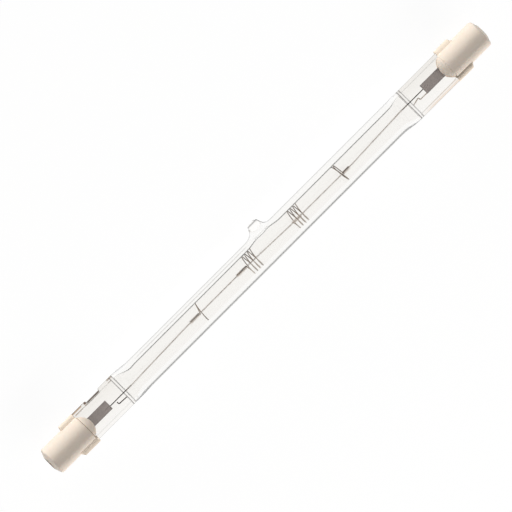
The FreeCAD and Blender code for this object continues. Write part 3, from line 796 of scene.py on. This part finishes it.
# Section flat on both faces to |y| = f, then |(y - f) / (a - f)|^n + |z/b|^n = 1 to the reach a; a
# narrows over the chamfer towards the outer end, and both ends are rounded by a quarter circle. Each ear
# has its own f and n.
def cementShell(moved, forms):
    e = ears
    start = capInner + bulb["rimRound"]
    places = dense((start, slotEnd, 60), (start, start + 0.15, 8), (slotEnd - 0.2, slotEnd, 8))[1:-1]
    x, angle = np.meshgrid(places, around(e["sides"]) + e["turned"], indexing="ij")
    fromEnd = np.minimum(x - start, slotEnd - x)
    rounding = e["edgeRound"] * (1 - np.sqrt(1 - np.clip(1 - fromEnd / e["edgeRound"], 0, 1) ** 2))
    far = np.cos(angle) > 0
    flatTo, square, slope, runOut = [np.where(far, other, near) for near, other in zip(*forms)]
    power = 2 / square
    flush = e["reach"] - bulb["capRadius"] + e["edgeRound"]
    narrowing = np.clip(slope * (x - slotEnd + e["chamfer"]), 0, flush)
    x = x - runOut * (slotEnd - x) / (slotEnd - start)
    bulge = np.clip(e["reach"] - flatTo - rounding - narrowing, 0, None) * np.abs(np.cos(angle)) ** power
    halfThick = bulb["slotHalf"] - e["inset"] - rounding
    z = halfThick * signedPower(np.sin(angle), power)
    return closedShell(laid(*moved(x, np.sign(np.cos(angle)) * (flatTo + bulge), z)))


# The seal's own section, a little wider, to cut its place in the cement.
def sealShell(moved):
    width, thick = bulb["sealHalfWidth"] + ears["inset"], envelope["webHalfThick"] + ears["inset"]
    places = [capInner - ears["sealLead"], sealEnd]
    x, angle = np.meshgrid(places, around(ears["sealSides"]), indexing="ij")
    power = 2 / envelope["buriedSquareness"]
    y = width * signedPower(np.cos(angle), power) - bulb["sealShift"]
    z = thick * signedPower(np.sin(angle), power)
    return closedShell(laid(*moved(x, y, z)))


for end, moved in ends.items():
    earMesh = meshOf("ears", [cementShell(moved, earForms[end])])
    cementMesh = cutAway(earMesh, meshOf("seal", [sealShell(moved)]))
    cementMesh.name = f"cement_{end}"
    addPiece(f"cement_{end}", cementMesh, cement, f"cap_cement_{end}", sharpAngle=35)
print("cement made")


# A round wire along a path: each ring lies square to the path, set out from the cross product of the
# path's direction with a steady axis that the path never follows.
def wireShell(path, radius, sides, steady):
    direction = np.gradient(path, axis=0)
    direction /= np.linalg.norm(direction, axis=1, keepdims=True)
    side = np.cross(direction, steady)
    side /= np.linalg.norm(side, axis=1, keepdims=True)
    other = np.cross(direction, side)
    angle = around(sides)[None, :, None]
    rings = path[:, None] + radius * (np.cos(angle) * side[:, None] + np.sin(angle) * other[:, None])
    return closedShell(laid(rings[..., 0], rings[..., 1], rings[..., 2]))


# Supports: one wire each, a winding on the coil, a step out to the bore and loops that touch it.
supports = {
    "wire": 0.18, "clearance": 0.02, "windingPitch": 0.242, "coilRadius": 0.16, "spiralPitch": 0.74,
    "spiralTouches": 8, "pointsPerHalf": 12, "sides": 8, "windingRadius": 0.5, "highlightSoft": 0.1,
}
# place of the step, rise, winding turns, winding side, bore side, where the loops touch the bore
supportLayout = {
    "left_ring": (-18.22, 0.0, 10, -1, 1, [0.85, 0.45]),
    "left_spiral": (-5.5, 0.0, 10, -1, -1, None),
    "right_spiral": (6.86, -0.35, 9, 1, -1, None),
    "right_ring": (20.44, -0.4, 7, 1, 1, [-0.4, -0.05, -0.93]),
}
# painted highlight: how far up each winding is painted pale, and how pale the loops' side away from the tip
# is painted
supportTone = {
    "left_ring": (0.0, 0.0), "left_spiral": (0.0, 0.45),
    "right_spiral": (0.5, 0.45), "right_ring": (0.0, 0.0),
}


# Half circles from each point to the next, in front of the plane z = 0 and behind it in turn: the
# middle of the two points, plus cos of the angle times half the way back, plus sin times a bulge in z.
def halfRings(points, count):
    start, stop = points[:-1], points[1:]
    middle, half = (start + stop) / 2, (start - stop) / 2
    bulge = np.linalg.norm(half, axis=1) * (-1.0) ** np.arange(len(half))
    angle = np.linspace(0, math.pi, count, endpoint=False)[None, :, None]
    arcs = middle[:, None] + np.cos(angle) * half[:, None]
    arcs = arcs + np.sin(angle) * bulge[:, None, None] * np.array([0, 0, 1.0])
    return np.concatenate([arcs.reshape(-1, 3), points[-1:]])


# The winding goes from side to side of the coil by half a pitch at a time. The loops go from side to side
# of the bore, out to the root of its reach squared less half their widest step squared, so that each arc
# just stays inside it.
def supportPath(place, rise, turns, windingSide, boreSide, touches):
    s = supports
    grip = s["coilRadius"] + s["clearance"] + s["wire"] / 2
    reach = bulb["boreRadius"] - s["clearance"] - s["wire"] / 2
    touches = np.array(touches or s["spiralPitch"] / 2 * np.arange(1, s["spiralTouches"] + 1))
    wall = math.sqrt(reach ** 2 - (np.abs(np.diff(touches)).max() / 2) ** 2)
    left = np.arange(2 * turns, -1, -1)
    windingX = place + windingSide * s["windingPitch"] / 2 * left
    windingY = rise - boreSide * grip * (-1.0) ** left
    loopY = boreSide * wall * (-1.0) ** np.arange(len(touches))
    x = np.concatenate([windingX, place + touches])
    y = np.concatenate([windingY, loopY])
    return halfRings(np.stack([x, y, 0 * x], axis=-1), s["pointsPerHalf"])


for name, layout in supportLayout.items():
    path = supportPath(*layout)
    shell = wireShell(path, supports["wire"] / 2, supports["sides"], alongAxis)
    # painted highlight on the windings and on the loops' side away from the tip, stored for each point
    fromCoil = path[:, 1] - layout[1]
    wound = np.hypot(fromCoil, path[:, 2]) < supports["windingRadius"]
    paleTo, loopPale = supportTone[name]
    windingHighlight = eased(-supports["highlightSoft"], supports["highlightSoft"], paleTo - fromCoil)
    paintedHighlight = np.where(wound, windingHighlight, loopPale * eased(0, supports["windingRadius"], -path[:, 1]))
    paintedHighlight = np.repeat(paintedHighlight, supports["sides"])
    supportMesh = meshOf(name, [shell])
    highlightLayer = supportMesh.attributes.new("paintedHighlight", "FLOAT", "POINT")
    highlightLayer.data.foreach_set("value", np.concatenate([paintedHighlight, paintedHighlight[:1], paintedHighlight[-1:]]))
    addPiece(f"{name}_wire", supportMesh, supportMetal, f"{name}_support")
print("supports made")

# Filament: a fine wire coiled along the line that the supports hold.
filament = {
    "wire": 0.055, "pitch": 0.11, "pointsPerTurn": 9, "sides": 5, "leadIn": 0.8, "leadReach": 1.9,
    "cavityStop": 0.15, "leftRise": -0.4, "rightRise": 0.15,
}


# Helix about the held line: y and z turn once for each pitch along x. The line is straight from one
# support's winding to the next.
def filamentPath():
    f = filament
    end = sealStart - f["cavityStop"]
    legs = sealStart - f["leadReach"] - f["leadIn"]
    lineX, lineY = [-end, -legs], [f["leftRise"]] * 2
    for place, rise, turns, windingSide, _, _ in supportLayout.values():
        held = sorted([place, place + windingSide * turns * supports["windingPitch"]])
        lineX += [held[0] - f["leadIn"], held[1] + f["leadIn"]]
        lineY += [rise, rise]
    lineX, lineY = lineX + [legs, end], lineY + [f["rightRise"]] * 2
    x = np.linspace(-end, end, int(2 * end / f["pitch"] * f["pointsPerTurn"]))
    angle = 2 * math.pi * x / f["pitch"]
    radius = supports["coilRadius"] - f["wire"] / 2
    y = np.interp(x, lineX, lineY) + radius * np.cos(angle)
    return np.stack([x, y, radius * np.sin(angle)], axis=-1)


coilShell = wireShell(filamentPath(), filament["wire"] / 2, filament["sides"], alongAxis)
addPiece("filament", meshOf("filament", [coilShell]), filamentMetal, "filament_coil")
print("filament made")

# Stage: a pale table, soft light from both sides and a camera that looks at the flat seals.
stage = {
    "floorHalf": 3.0, "tableColour": "#F4F3F1", "glow": 0.9, "glowStrength": 1.06, "bounce": 0.1,
    "ambient": 0.03, "seen": 1.0,
}
plainWhite = (1, 1, 1, 1)


# 1 for a ray that the eye follows, straight, mirrored or through glass, and 0 for light that bounces.
def seenShare(tree):
    rays = addNode(tree, "ShaderNodeLightPath")
    mirrored = addNode(
        tree, "ShaderNodeMath",
        links={0: rays.outputs["Is Camera Ray"], 1: rays.outputs["Is Glossy Ray"]}, operation="MAXIMUM",
    )
    through = addNode(
        tree, "ShaderNodeMath",
        links={0: mirrored.outputs["Value"], 1: rays.outputs["Is Transmission Ray"]}, operation="MAXIMUM",
    )
    return through.outputs["Value"]


# Painted board, matt: an even white to the eye, which still takes the bulb's shadow.
def mattTable():
    material = bpy.data.materials.new("matt white table")
    material.use_nodes = True
    tree = material.node_tree
    tree.nodes.clear()
    share = addNode(
        tree, "ShaderNodeMapRange", {"To Min": stage["bounce"], "To Max": stage["glow"]},
        {"Value": seenShare(tree)},
    )
    matt = addNode(tree, "ShaderNodeBsdfDiffuse", {"Color": linear(stage["tableColour"])})
    glow = addNode(tree, "ShaderNodeEmission", {"Color": plainWhite, "Strength": stage["glowStrength"]})
    board = addNode(
        tree, "ShaderNodeMixShader",
        links={0: share.outputs["Result"], 1: matt.outputs["BSDF"], 2: glow.outputs["Emission"]},
    )
    finishMaterial(tree, board.outputs["Shader"])
    return material


def paleRoom():  # white to the eye and in the glass, with little light of its own
    world = bpy.data.worlds.new("studio")
    world.use_nodes = True
    tree = world.node_tree
    tree.nodes.clear()
    ambient = addNode(tree, "ShaderNodeBackground", {"Color": plainWhite, "Strength": stage["ambient"]})
    seen = addNode(tree, "ShaderNodeBackground", {"Color": plainWhite, "Strength": stage["seen"]})
    room = addNode(
        tree, "ShaderNodeMixShader",
        links={0: seenShare(tree), 1: ambient.outputs["Background"], 2: seen.outputs["Background"]},
    )
    addNode(tree, "ShaderNodeOutputWorld", links={"Surface": room.outputs["Shader"]})
    return world


floorLevel = cadBox[0][2]
half = stage["floorHalf"]
floorMesh = bpy.data.meshes.new("table")
floorCorners = [
    (-half, -half, floorLevel), (half, -half, floorLevel),
    (half, half, floorLevel), (-half, half, floorLevel),
]
floorMesh.from_pydata(floorCorners, [], [(0, 1, 2, 3)])
floor = bpy.data.objects.new("table", floorMesh)
scene.collection.objects.link(floor)
floorMesh.materials.append(mattTable())
scene.world = paleRoom()

lamps = {
    "tip side": {"place": (0.0, 1.0, 0.09), "width": 1.6, "height": 0.16, "power": 13.6},
    "far side": {"place": (0.0, -1.0, 0.39), "width": 1.6, "height": 0.3, "power": 14.0},
}
for name, lamp in lamps.items():
    data = bpy.data.lights.new(name, "AREA")
    data.shape = "RECTANGLE"
    data.size = lamp["width"]
    data.size_y = lamp["height"]
    data.energy = lamp["power"]
    light = bpy.data.objects.new(name, data)
    light.location = lamp["place"]
    light.rotation_euler = (-Vector(lamp["place"])).to_track_quat("-Z", "Y").to_euler()
    light.visible_glossy = False  # clear glass shows the room, not the lamps
    light.visible_transmission = False
    scene.collection.objects.link(light)

# The camera looks along -z of the bulb, a little from the left; the image is 512 by 512 pixels.
shot = {"lean": 4.5, "distance": 2.5, "imagePixels": 512, "pixelsPerMm": 5.216, "sensor": 36.0,
        "tubeRight": 0.70815, "tubeUp": 0.70606, "centrePixel": (266.32, 246.98)}
lean = math.radians(shot["lean"])
toCamera = Vector(faceAxis) * math.cos(lean) - Vector(alongAxis) * math.sin(lean)
imageRight = Vector(alongAxis) * shot["tubeRight"] - Vector(tipAxis) * shot["tubeUp"]
imageRight = (imageRight - toCamera * imageRight.dot(toCamera)).normalized()
imageUp = toCamera.cross(imageRight)
pixel = millimetre / shot["pixelsPerMm"]
offRight = (shot["centrePixel"][0] - shot["imagePixels"] / 2) * pixel
offUp = (shot["imagePixels"] / 2 - shot["centrePixel"][1]) * pixel
target = -imageRight * offRight - imageUp * offUp
cameraData = bpy.data.cameras.new("camera")
cameraData.sensor_width = shot["sensor"]
cameraData.lens = shot["sensor"] * shot["distance"] / (shot["imagePixels"] * pixel)
camera = bpy.data.objects.new("camera", cameraData)
axes = Matrix((imageRight, imageUp, toCamera)).transposed()
camera.matrix_world = Matrix.Translation(target + toCamera * shot["distance"]) @ axes.to_4x4()
scene.collection.objects.link(camera)
scene.camera = camera
print("stage set")
